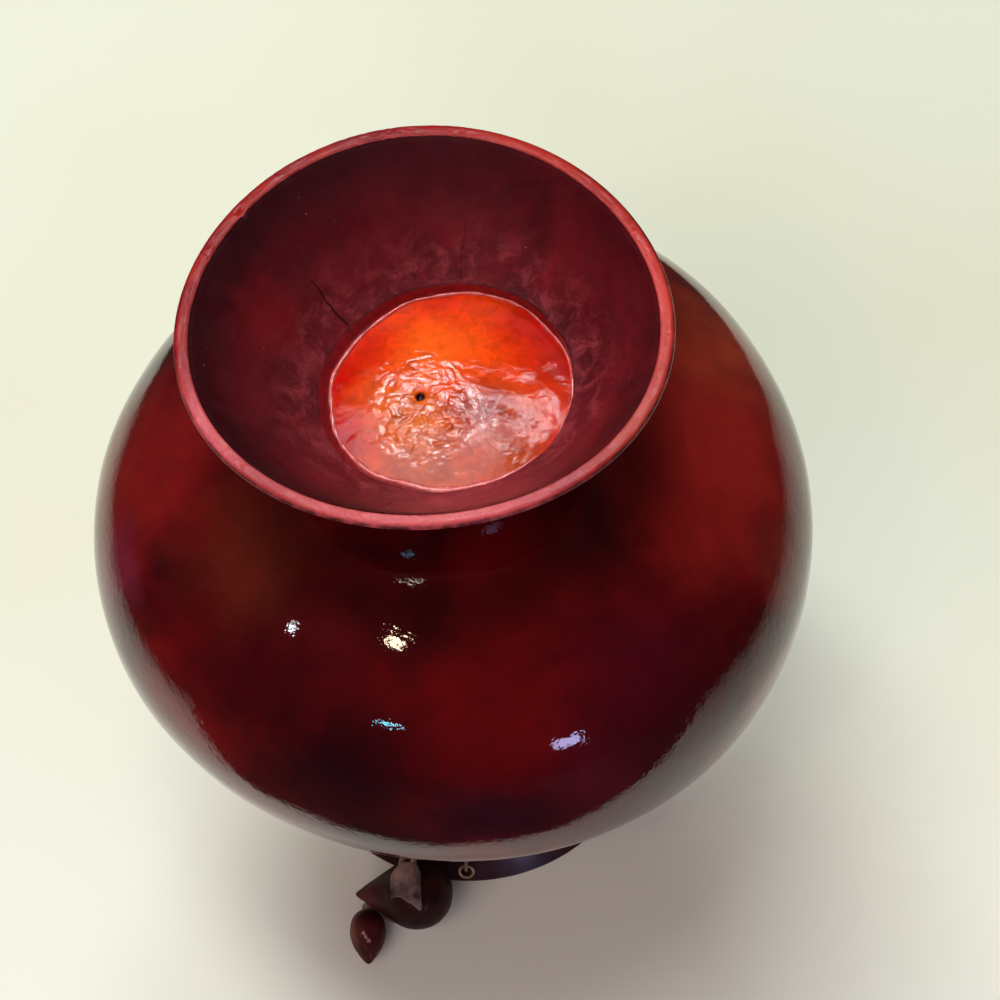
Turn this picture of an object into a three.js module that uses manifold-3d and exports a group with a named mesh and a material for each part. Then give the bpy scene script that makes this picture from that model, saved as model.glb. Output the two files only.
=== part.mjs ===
// A gourd vase that stands on its mouth, with a glued-on foot, a flared collar and hanging ornaments.
// Millimetres, +Z up. The origin is the centre of the mouth rim, on the surface that it stands on.
import * as THREE from 'three';
import { mergeVertices } from 'three/addons/utils/BufferGeometryUtils.js';
import Module from 'manifold-3d';

const wasm = await Module();
wasm.setup();

// Fits and facets
const seatGap = 0.3; // between pieces that touch
const roundSegments = 48; // around the gourd shells
const bodySteps = 24; // from the blossom end to the cut mouth end
const smallSegments = 16; // around the seed, the nut and knots

// Gourd body
const bodyRadius = 120;
const crownRise = 77.2; // equator to the blossom end
const shoulderDrop = 78.1; // equator to where the shell would close at the mouth end
const bodyFullness = 2.1; // exponent of the rounded outline, 2 is an ellipse
const bodyWall = 5;
const bodyLobe = 1.1; // height of the three soft lobes round the equator
const bodyLobeAngle = -49;
const neckLength = 76.4; // surface to where the shell would close

// Mouth collar
const mouthRadius = 67.6;
const waistRadius = 42;
const waistHeight = 52;
const collarTopRadius = 47;
const collarWall = 4.3;
const flarePower = 2.2; // how late the collar flares out

// Foot ring
const holeRadius = 37.2; // where the blossom end shows through
const holeBevel = 2.8; // how much wider the hole is at the bowl's floor
const holeWall = 3.4; // height of the hole's cut edge
const holeLobe = 1.2;
const holeLobeAngle = 38;
const holeShift = 2; // the ring sits a little off the axis
const bowlDepth = 35.6;
const bowlPower = 0.82; // under 1 rounds the bowl out
const rimRadius = 73.7;
const rimWall = 4.3;
const rimLobe = 1;
const rimLobeAngle = -30;
const rimShift = -5.1; // the foot leans this way
const seamRadius = 3.6; // glue seams

// Cord round the neck, and the thongs on it
const neckCordRadius = 1.8;
const thongRadius = 1.1;
const thongBall = 1.7; // rounded end under the tie
const tieRadius = 4.2;
const tieWidth = 11.6;
const ringTieWidth = 7;
const seedTieAzimuth = -121;
const nutTieAzimuth = -107;
const ringTieAzimuth = -93.4;
const strandSpread = 5; // degrees between two strands of one tie

// Nut and seed
const surfaceGap = 0.5; // ornaments to the surface that the vase stands on
const nutRadius = 13.3; // of its round end
const nutPoint = 23.4; // centre of the round end to the nut's point
const nutSide = -22.1;
const nutReach = 11.5; // mouth rim to the nut's centre
const nutHeading = 174;
const nutDip = 9;
const tabThick = 1.6;
const tabWidth = 12;
const tabSide = -4.5; // centre of the round end to the middle of the tab
const tabFront = 11;
const tabBack = 8;
const seedLength = 20.5;
const seedRadius = 7;
const seedWidest = 0.4; // share of the seed's length from its root to its widest place
const seedKnot = 2.6;
const seedTopAzimuth = -117.4;
const seedTopReach = 21.6;
const seedHeading = -89.5;
const seedDip = 9;

// Brass ring
const ringRadius = 2.6;
const ringWire = 0.55;
const eyeRadius = 1.75;
const eyeWire = 0.6;
const ringLift = 2.8; // off the collar where it is linked
const ringTopHeight = 6.1;
const ringEndHeight = 1.7;

// Where the parts meet, worked out from the sizes above
const equatorHeight = neckLength + shoulderDrop;
const roundness = (r) => Math.max(0, 1 - (r / bodyRadius) ** bodyFullness) ** (1 / bodyFullness);
const domeHeight = (r) => equatorHeight + crownRise * roundness(r);
const shoulderHeight = (r) => equatorHeight - shoulderDrop * roundness(r);
const jointHeight = shoulderHeight(collarTopRadius);
const seatHeight = domeHeight(holeRadius);
const bowlFloor = seatHeight + holeWall;
const rimHeight = bowlFloor + bowlDepth;
const cordRing = waistRadius + seatGap + neckCordRadius;
const hangRadius = cordRing + 0.8;
const hangHeight = waistHeight - tieRadius - seatGap - thongBall;
const degrees = Math.PI / 180;

const finish = (color, roughness, metalness = 0) =>
  new THREE.MeshStandardMaterial({ color, roughness, metalness });
const finishes = {
  varnish: finish(0x5a1016, 0.15),
  bareGourd: finish(0x5b1c22, 0.6),
  collar: finish(0x3d1218, 0.35),
  glue: finish(0x5a3a26, 0.7),
  suede: finish(0xb8a59c, 0.95),
  nut: finish(0x2e2620, 0.3),
  seed: finish(0x4b1a1c, 0.2),
  brass: finish(0xb8863b, 0.3, 1),
};

// Closed solids: from a geometry, and back to a named mesh
function solidOf(geometry) {
  const bare = geometry.clone();
  bare.deleteAttribute('normal');
  bare.deleteAttribute('uv');
  const merged = mergeVertices(bare, 1e-4);
  const vertProperties = Float32Array.from(merged.attributes.position.array);
  const index = merged.index.array;
  const triangles = [];
  let volume = 0;
  const corner = (i) => new THREE.Vector3().fromArray(vertProperties, 3 * i);
  for (let i = 0; i < index.length; i += 3) {
    const [a, b, c] = [index[i], index[i + 1], index[i + 2]];
    if (a === b || b === c || c === a) continue;
    triangles.push([a, b, c]);
    volume += corner(a).dot(corner(b).cross(corner(c)));
  }
  const order = volume < 0 ? ([a, b, c]) => [a, c, b] : (t) => t;
  const triVerts = Uint32Array.from(triangles.flatMap(order));
  return new wasm.Manifold(new wasm.Mesh({ numProp: 3, vertProperties, triVerts }));
}

function meshOf(name, solid, material) {
  const { vertProperties, triVerts } = solid.getMesh();
  const geometry = new THREE.BufferGeometry();
  geometry.setAttribute('position', new THREE.BufferAttribute(Float32Array.from(vertProperties), 3));
  geometry.setIndex(Array.from(triVerts));
  geometry.computeVertexNormals();
  const mesh = new THREE.Mesh(geometry, material);
  mesh.name = name;
  return mesh;
}

// A profile of [radius, height] turned about Z; warp moves each point as (angle, radius, height)
function turned(profile, segments = roundSegments, warp = null) {
  const points = profile.map(([r, z]) => new THREE.Vector2(r, z));
  const geometry = new THREE.LatheGeometry(points, segments).rotateX(Math.PI / 2);
  const position = geometry.attributes.position;
  for (let i = 0; warp && i < position.count; i++) {
    const [x, y, z] = [position.getX(i), position.getY(i), position.getZ(i)];
    const [wx, wy] = warp(Math.atan2(y, x), Math.hypot(x, y), z);
    position.setXYZ(i, wx, wy, z);
  }
  return solidOf(geometry);
}

const steps = (n) => Array.from({ length: n + 1 }, (_, i) => i / n);
const polar = (azimuth, radius, height) => new THREE.Vector3(
  radius * Math.cos(azimuth * degrees), radius * Math.sin(azimuth * degrees), height);

// A round tube along a smooth curve through the points, with a ball on its first point
function tube(points, radius, ball = 0) {
  const curve = new THREE.CatmullRomCurve3(points);
  const section = new THREE.Shape();
  section.absarc(0, 0, radius, 0, 2 * Math.PI);
  const count = Math.ceil(curve.getLength() / (2.5 * radius * 2));
  const geometry = new THREE.ExtrudeGeometry(section, {
    extrudePath: curve, steps: Math.max(count, 2 * points.length), curveSegments: 4, bevelEnabled: false });
  const solid = solidOf(geometry);
  return ball ? solid.add(solidOf(sphere(ball, points[0]))) : solid;
}

const sphere = (radius, centre, scale = [1, 1, 1], azimuth = 0) => new THREE.SphereGeometry(
  radius, smallSegments, smallSegments / 2).rotateX(Math.PI / 2).scale(...scale)
  .rotateZ(azimuth * degrees).translate(...centre.toArray());

// Gourd body: a hollow shell, closed at the blossom end, cut open at the mouth end
function bodyWarp(angle, r) {
  const k = 1 + (bodyLobe / bodyRadius) * Math.cos(3 * (angle - bodyLobeAngle * degrees));
  return [r * k * Math.cos(angle), r * k * Math.sin(angle)];
}

function bodyOutline(inset, from, to, count) {
  return steps(count).map((t) => {
    const s = from + (to - from) * t;
    const rise = s < Math.PI / 2 ? crownRise : shoulderDrop;
    const bend = (v) => Math.sign(v) * Math.abs(v) ** (2 / bodyFullness);
    const r = (bodyRadius - inset) * bend(Math.sin(s));
    return [Math.abs(r) < 1e-6 ? 0 : r, equatorHeight + (rise - inset) * bend(Math.cos(s))];
  });
}

const cutAngle = (inset) => Math.PI - Math.asin(
  ((collarTopRadius - collarWall) / (bodyRadius - inset)) ** (bodyFullness / 2));

function bodyEnvelope(grow) {
  const outside = bodyOutline(-grow, 0, cutAngle(-grow), bodySteps);
  return turned([...outside, [0, outside[bodySteps][1]]], roundSegments, bodyWarp);
}

function gourdBody() {
  const outside = bodyOutline(0, 0, cutAngle(0), bodySteps);
  const inside = bodyOutline(bodyWall, cutAngle(bodyWall), 0, 16);
  return turned([...outside, ...inside], roundSegments, bodyWarp);
}

// Mouth collar: a trumpet that stands on its wide rim and seats under the body
function collarRadius(z) {
  if (z < waistHeight) return waistRadius + (mouthRadius - waistRadius) * (1 - z / waistHeight) ** flarePower;
  return waistRadius + (collarTopRadius - waistRadius) * ((z - waistHeight) / (jointHeight - waistHeight)) ** 2;
}

function collarSolid(grow) {
  const top = jointHeight + bodyWall;
  const heights = steps(12).map((t) => top * t ** 1.15);
  const outside = heights.map((z) => [collarRadius(z) + grow, z]);
  const inside = heights.map((z) => [collarRadius(z) - collarWall, z]).reverse();
  return turned([...outside, ...inside, outside[0]]);
}

// Foot ring: a flared bowl with a hole in its floor, leaning off the axis
function footWarp(angle, r, z) {
  const u = THREE.MathUtils.clamp((z - seatHeight) / (rimHeight - seatHeight), 0, 1);
  const hole = (1 - u) * (holeLobe / holeRadius) * Math.cos(2 * (angle - holeLobeAngle * degrees));
  const rim = u * (rimLobe / rimRadius) * Math.cos(3 * (angle - rimLobeAngle * degrees));
  const k = r * (1 + hole + rim);
  return [k * Math.cos(angle) + THREE.MathUtils.lerp(holeShift, rimShift, u), k * Math.sin(angle)];
}

const bowlRadius = (t) => holeRadius + holeBevel
  + (rimRadius - rimWall - holeRadius - holeBevel) * t ** bowlPower;

function footSolid(grow) {
  const levels = steps(8);
  const sunk = seatHeight - 2 * bodyWall; // the part below the dome is cut away
  const inside = levels.map((t) => [bowlRadius(t), bowlFloor + bowlDepth * t]);
  const outside = levels.map((t) => [bowlRadius(t) + rimWall + grow, bowlFloor + bowlDepth * t]).reverse();
  const foot = [[holeRadius + rimWall + grow, sunk], [holeRadius, sunk], [holeRadius, seatHeight]];
  return turned([...foot, ...inside, ...outside, foot[0]], roundSegments, footWarp);
}

function ringOf(radius, height, section, warp) {
  const profile = steps(6).map((t) => [
    radius + section * Math.cos(2 * Math.PI * t), height + section * Math.sin(2 * Math.PI * t)]);
  profile[6] = profile[0];
  return turned(profile, roundSegments, warp);
}

const envelope = bodyEnvelope(seatGap);
const collar = collarSolid(0).subtract(envelope);
const foot = footSolid(0).subtract(envelope);
const footSeam = ringOf(holeRadius + rimWall + seamRadius / 2, domeHeight(holeRadius + rimWall + seamRadius / 2)
  + seamRadius / 3, seamRadius, footWarp).subtract(envelope).subtract(footSolid(seatGap));
const collarSeam = ringOf(collarTopRadius + seamRadius / 2, shoulderHeight(collarTopRadius + seamRadius / 2)
  - seamRadius / 3, seamRadius, null).subtract(envelope).subtract(collarSolid(seatGap));

// Neck cord, and the knots that tie the thongs to it
const cordSolid = (grow) => solidOf(new THREE.TorusGeometry(cordRing, neckCordRadius + grow, 8, roundSegments)
  .translate(0, 0, waistHeight));

function tie(azimuth, width) {
  const knot = sphere(tieRadius, polar(azimuth, cordRing, waistHeight), [1, width / (2 * tieRadius), 1], azimuth);
  return solidOf(knot).subtract(cordSolid(seatGap)).subtract(collarSolid(seatGap));
}

// A point that lies this far off the collar's outer face
function onCollar(azimuth, z, lift) {
  const slope = (collarRadius(z + 0.01) - collarRadius(z - 0.01)) / 0.02;
  const length = Math.hypot(1, slope);
  return polar(azimuth, collarRadius(z) + lift / length, z - (lift * slope) / length);
}

const lieOff = thongRadius + 2 * seatGap;
const hang = (azimuth) => polar(azimuth, hangRadius, hangHeight);

// The seed, turned about its own axis from its root
function seedSolid() {
  const outline = new THREE.SplineCurve([[0, 0], [0.03, 0.42], [0.17, 0.84], [seedWidest, 1], [0.62, 0.86], [0.82, 0.52],
    [0.95, 0.22], [1, 0]].map(([u, w]) => new THREE.Vector2(w * seedRadius, u * seedLength)));
  const profile = outline.getPoints(14).map(({ x, y }) => [Math.max(0, x), y]);
  profile[0] = [0, 0];
  profile[14] = [0, seedLength];
  return turned(profile, smallSegments);
}

// A turned solid laid along a heading, dipping down to its tip
function laid(solid, root, heading, dip) {
  const axis = polar(heading, Math.cos(dip * degrees), -Math.sin(dip * degrees));
  const turn = new THREE.Quaternion().setFromUnitVectors(new THREE.Vector3(0, 0, 1), axis);
  return solid.transform(new THREE.Matrix4().compose(root, turn, new THREE.Vector3(1, 1, 1)).elements);
}

// Nut: a round end drawn out to a point, lying over the seed's thong under a broad suede tab on two strands
const lieHeight = surfaceGap + thongRadius;
const nutCentre = new THREE.Vector3(nutSide, -Math.sqrt(mouthRadius ** 2 - nutSide ** 2) - nutReach - thongBall,
  lieHeight + thongRadius + surfaceGap + nutRadius);

function nutSolid(grow) {
  const scale = (nutRadius + grow) / nutRadius; // moves the round end and the cone out alike
  const roundEnd = Math.PI / 2 + Math.asin(nutRadius / nutPoint); // where the round end runs into the cone
  const ball = steps(10).map((t) => [nutRadius * Math.sin(roundEnd * t), -nutRadius * Math.cos(roundEnd * t)]);
  const profile = [...ball, [0, nutPoint]].map(([r, z]) => [r * scale, z * scale]);
  return laid(turned(profile, smallSegments), nutCentre, nutHeading, nutDip);
}

function nutThong() {
  const patch = new THREE.BoxGeometry(tabWidth, tabFront + tabBack, nutRadius + tabThick).translate(
    nutCentre.x + tabSide, nutCentre.y + (tabBack - tabFront) / 2, nutCentre.z + nutRadius / 2 + tabThick);
  const tab = nutSolid(seatGap + tabThick).subtract(nutSolid(seatGap)).intersect(solidOf(patch));
  const strand = (side, end) => tube([
    hang(nutTieAzimuth + side * strandSpread / 2),
    polar(nutTieAzimuth - 1 + side * 2.3, 48, 37.5),
    polar(nutTieAzimuth - 2.5 + side * 2.1, 54, 32),
    polar(nutTieAzimuth - 3.5 + side * 2, 62, 29),
    end,
  ], thongRadius, thongBall);
  const middle = nutRadius + seatGap + tabThick / 2;
  const end = (x, y) => new THREE.Vector3(x, y, Math.sqrt(middle ** 2 - x * x - y * y)).add(nutCentre);
  return tab.add(strand(-1, end(-5, 7))).add(strand(1, end(-0.5, 7)));
}

// Seed on a thong that comes out from under the nut
const seedTop = polar(seedTopAzimuth, mouthRadius + seedTopReach,
  seedRadius + surfaceGap + seedWidest * seedLength * Math.sin(seedDip * degrees));
const seedRoute = [
  hang(seedTieAzimuth),
  onCollar(-119.5, 36, lieOff),
  onCollar(-117.5, 26, lieOff),
  onCollar(-115.5, 16, lieOff),
  onCollar(-114, 7, lieOff),
  polar(-113, mouthRadius + 2.1, 2.2),
  polar(-110.4, mouthRadius + 8.7, lieHeight),
  polar(-109.6, mouthRadius + 14.8, lieHeight),
  polar(-111, mouthRadius + 19.4, lieHeight + 0.1),
  polar(-114.1, mouthRadius + 19.6, 4),
  polar(-116.3, mouthRadius + 19.6, 6.6),
  seedTop,
];
const seedThong = (grow) => tube(seedRoute, thongRadius + grow, thongBall)
  .add(solidOf(sphere(seedKnot + grow, seedTop)));
const seed = laid(seedSolid(), seedTop, seedHeading, seedDip).subtract(seedThong(seatGap));

// Brass ring, linked through the loop at the end of its thong and lying on the collar
const ringTop = onCollar(ringTieAzimuth, ringTopHeight, ringLift);
const ringEnd = onCollar(ringTieAzimuth, ringEndHeight, ringWire + 2 * seatGap);
const slide = ringEnd.clone().sub(ringTop).normalize();
const tangent = polar(ringTieAzimuth + 90, 1, 0);
const eyeOut = new THREE.Vector3().crossVectors(slide, tangent).normalize();
const ringCentre = ringTop.clone().addScaledVector(slide, ringRadius);
const eyeCentre = ringTop.clone().addScaledVector(slide, -seatGap);
const ringRoute = [
  hang(ringTieAzimuth),
  onCollar(ringTieAzimuth, 36, lieOff),
  onCollar(ringTieAzimuth, 26, lieOff),
  onCollar(ringTieAzimuth, 17, lieOff + 0.4),
  eyeCentre.clone().addScaledVector(slide, -eyeRadius),
];

function torusAt(radius, wire, centre, along, across) {
  const normal = new THREE.Vector3().crossVectors(along, across).normalize();
  const turn = new THREE.Matrix4().makeBasis(along, across, normal).setPosition(centre);
  return solidOf(new THREE.TorusGeometry(radius, wire, 8, smallSegments).applyMatrix4(turn));
}

const brassRing = torusAt(ringRadius, ringWire, ringCentre, slide, tangent);
const ringThong = tube(ringRoute, thongRadius, thongBall)
  .add(torusAt(eyeRadius, eyeWire, eyeCentre, slide, eyeOut));

const vase = new THREE.Group();
vase.add(
  meshOf('gourd_body', gourdBody(), finishes.varnish),
  meshOf('foot_ring', foot, finishes.bareGourd),
  meshOf('foot_glue_seam', footSeam, finishes.glue),
  meshOf('mouth_collar', collar, finishes.collar),
  meshOf('collar_glue_seam', collarSeam, finishes.glue),
);
const ornaments = new THREE.Group();
ornaments.add(
  meshOf('neck_cord', cordSolid(0), finishes.suede),
  meshOf('seed_tie', tie(seedTieAzimuth, tieWidth), finishes.suede),
  meshOf('nut_tie', tie(nutTieAzimuth, tieWidth), finishes.suede),
  meshOf('ring_tie', tie(ringTieAzimuth, ringTieWidth), finishes.suede),
  meshOf('nut_thong', nutThong(), finishes.suede),
  meshOf('pointed_nut', nutSolid(0), finishes.nut),
  meshOf('seed_thong', seedThong(0), finishes.suede),
  meshOf('drop_seed', seed, finishes.seed),
  meshOf('ring_thong', ringThong, finishes.suede),
  meshOf('brass_ring', brassRing, finishes.brass),
);
vase.add(ornaments);

export default vase;
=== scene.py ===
import math

import bmesh
import bpy
import numpy as np
from mathutils import Matrix, Vector, noise


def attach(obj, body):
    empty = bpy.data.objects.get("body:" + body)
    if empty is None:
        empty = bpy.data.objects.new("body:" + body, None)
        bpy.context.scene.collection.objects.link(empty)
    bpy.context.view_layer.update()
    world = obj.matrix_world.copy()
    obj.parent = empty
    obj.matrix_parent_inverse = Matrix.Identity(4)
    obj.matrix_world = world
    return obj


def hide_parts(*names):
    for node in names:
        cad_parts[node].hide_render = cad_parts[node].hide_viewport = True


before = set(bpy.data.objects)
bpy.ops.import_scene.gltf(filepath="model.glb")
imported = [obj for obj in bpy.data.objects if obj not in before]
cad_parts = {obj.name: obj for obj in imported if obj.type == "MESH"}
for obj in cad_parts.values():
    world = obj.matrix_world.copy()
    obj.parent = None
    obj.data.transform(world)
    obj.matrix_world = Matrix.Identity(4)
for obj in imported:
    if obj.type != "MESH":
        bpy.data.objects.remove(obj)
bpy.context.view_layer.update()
scene = bpy.context.scene
scene.view_settings.view_transform = "Standard"
mm = 0.001  # sizes are in millimetres, in the same frame as the solids, unless a note says metres
noise.seed_set(4)  # noise_vector starts from the clock otherwise
print("frame loaded,", len(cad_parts), "solids")


# camera: looks down on the foot from the side with the ornaments
shot = dict(lookDown=57.9, roll=-2.6, place=(15.1, -406.1, 811.2), lens=82.8, sensor=36)


def makeCamera():
    down, roll = math.radians(shot["lookDown"]), math.radians(shot["roll"])
    right = Vector((1, 0, 0))
    up = Vector((0, math.sin(down), math.cos(down)))
    back = Vector((0, -math.cos(down), math.sin(down)))
    across = right * math.cos(roll) + up * math.sin(roll)
    upward = up * math.cos(roll) - right * math.sin(roll)
    data = bpy.data.cameras.new("shot")
    data.lens, data.sensor_width = shot["lens"], shot["sensor"]
    camera = bpy.data.objects.new("shot", data)
    turn = Matrix((across, upward, back)).transposed().to_4x4()
    camera.matrix_world = Matrix.Translation(Vector(shot["place"]) * mm) @ turn
    scene.collection.objects.link(camera)
    scene.camera = camera


makeCamera()
print("camera set")


# mesh helpers

def grain(points, size, shift=0.0):
    # smooth noise at each point, with features of about this size; another shift gives another pattern
    flat = np.asarray(points, float).reshape(-1, 3) / size + shift
    values = np.array([noise.noise(p) for p in flat.tolist()])
    return values.reshape(np.shape(points)[:-1])


def ease(value, low, high):
    t = np.clip((value - low) / (high - low), 0, 1)
    return t * t * (3 - 2 * t)


def unit(v):
    return v / np.linalg.norm(v)


def around(count):
    return np.linspace(0, 2 * math.pi, count, endpoint=False)


def polar(azimuth, radius, height):
    a = math.radians(azimuth)
    return np.array([radius * math.cos(a), radius * math.sin(a), height])


def leaning(azimuth, rise):
    # direction that rises by some degrees along a heading
    return polar(azimuth, math.cos(math.radians(rise)), math.sin(math.radians(rise)))


def turnTo(axis):
    # matrix that turns upright points to lie along an axis
    return np.array(Vector((0, 0, 1)).rotation_difference(Vector(axis)).to_matrix())


def straight(angle, r, z):
    return np.stack([r * np.cos(angle), r * np.sin(angle), z + 0 * r], -1)


def gridFaces(rows, columns, closeRows, closeColumns):
    r = np.arange(rows if closeRows else rows - 1)
    c = np.arange(columns if closeColumns else columns - 1)
    r, c = np.meshgrid(r, c, indexing="ij")
    rNext, cNext = (r + 1) % rows, (c + 1) % columns
    corners = [r * columns + c, r * columns + cNext, rNext * columns + cNext, rNext * columns + c]
    return np.stack(corners, -1).reshape(-1, 4)


def meshObject(name, points, faces, slots=None, fields=None):
    # slots gives each face its finish; fields are extra numbers at each point, for the finishes
    mesh = bpy.data.meshes.new(name)
    mesh.from_pydata((np.asarray(points, float).reshape(-1, 3) * mm).tolist(), [], faces.tolist())
    for key, values in (fields or {}).items():
        field = mesh.attributes.new(key, "FLOAT", "POINT")
        field.data.foreach_set("value", np.ravel(values).astype(np.float32))
    if slots is not None:
        mesh.polygons.foreach_set("material_index", np.asarray(slots, np.int32))
    bm = bmesh.new()
    bm.from_mesh(mesh)
    bmesh.ops.remove_doubles(bm, verts=bm.verts, dist=1e-6)
    bmesh.ops.recalc_face_normals(bm, faces=bm.faces)
    for face in bm.faces:
        face.smooth = True
    bm.to_mesh(mesh)
    bm.free()
    piece = bpy.data.objects.new(name, mesh)
    scene.collection.objects.link(piece)
    return piece


def gridObject(name, points, closeRows=True, rowSlots=None, fields=None):
    # rows of points that each go right round
    rows, columns = points.shape[:2]
    faces = gridFaces(rows, columns, closeRows, True)
    slots = None if rowSlots is None else np.repeat(np.asarray(rowSlots)[:len(faces) // columns], columns)
    return meshObject(name, points, faces, slots, fields)


def curve(p1, p2, v1, v2, t):
    # from p1 to p2, with the speeds v1 and v2 at its ends
    return p1 + v1 * t + (3 * (p2 - p1) - 2 * v1 - v2) * t ** 2 + (2 * (p1 - p2) + v1 + v2) * t ** 3


def smoothLine(points, perSpan):
    # centripetal spline through the points, as in the solids
    p = np.asarray(points, float)
    p = np.vstack([2 * p[0] - p[1], p, 2 * p[-1] - p[-2]])
    line = []
    for p0, p1, p2, p3 in zip(p, p[1:], p[2:], p[3:]):
        d0, d1, d2 = (np.linalg.norm(b - a) ** 0.5 for a, b in ((p0, p1), (p1, p2), (p2, p3)))
        v1 = ((p1 - p0) / d0 - (p2 - p0) / (d0 + d1) + (p2 - p1) / d1) * d1
        v2 = ((p2 - p1) / d1 - (p3 - p1) / (d1 + d2) + (p3 - p2) / d2) * d1
        line += [curve(p1, p2, v1, v2, t) for t in np.linspace(0, 1, perSpan, endpoint=False)]
    return np.array(line + [p[-2]])


def distanceAlong(line):
    return np.concatenate([[0], np.cumsum(np.linalg.norm(np.diff(line, axis=0), axis=1))])


def lineLength(line):
    return float(distanceAlong(line)[-1])


def evenLine(points, step):
    line = smoothLine(points, 24)
    along = distanceAlong(line)
    at = np.linspace(0, along[-1], max(3, math.ceil(along[-1] / step) + 1))
    return np.stack([np.interp(at, along, line[:, k]) for k in range(3)], 1)


def sweep(line, radii, sides, flat, first, closed=False):
    # rings round a line; flat is the thickness over the width, first is where the flat side faces
    count = len(line)
    ahead = np.roll(line, -1, 0) - np.roll(line, 1, 0) if closed else np.gradient(line, axis=0)
    ahead /= np.linalg.norm(ahead, axis=1)[:, None]
    face = np.array(first, float)
    radii = np.broadcast_to(radii, count)
    a = around(sides)[:, None]
    rings = []
    for i in range(count):
        face = unit(face - ahead[i] * np.dot(face, ahead[i]))
        side = np.cross(ahead[i], face)
        rings.append(line[i] + radii[i] * (np.cos(a) * side + flat * np.sin(a) * face))
    return np.array(rings)


def capped(rings):
    # closes both ends of a tube with a rounded cap
    steps = np.linspace(0, math.pi / 2, 4)[1:]

    def cap(ring, inner):
        middle = ring.mean(0)
        out = unit(middle - inner.mean(0)) * np.linalg.norm(ring - middle, axis=1).mean() * 0.6
        return [middle + (ring - middle) * math.cos(s) + out * math.sin(s) for s in steps]
    start, end = cap(rings[0], rings[1]), cap(rings[-1], rings[-2])
    return np.array(start[::-1] + list(rings) + end)


# finishes

def srgb(r, g, b):
    shares = (r / 255, g / 255, b / 255)
    return tuple(c / 12.92 if c <= 0.04045 else ((c + 0.055) / 1.055) ** 2.4 for c in shares)


black, white = (0, 0, 0), (1, 1, 1)
sockets = dict(colour="Base Color", roughness="Roughness", metallic="Metallic", specular="Specular IOR Level",
               normal="Normal", coat="Coat Weight", coatRoughness="Coat Roughness", coatIor="Coat IOR",
               coatNormal="Coat Normal", sheen="Sheen Weight")


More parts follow.
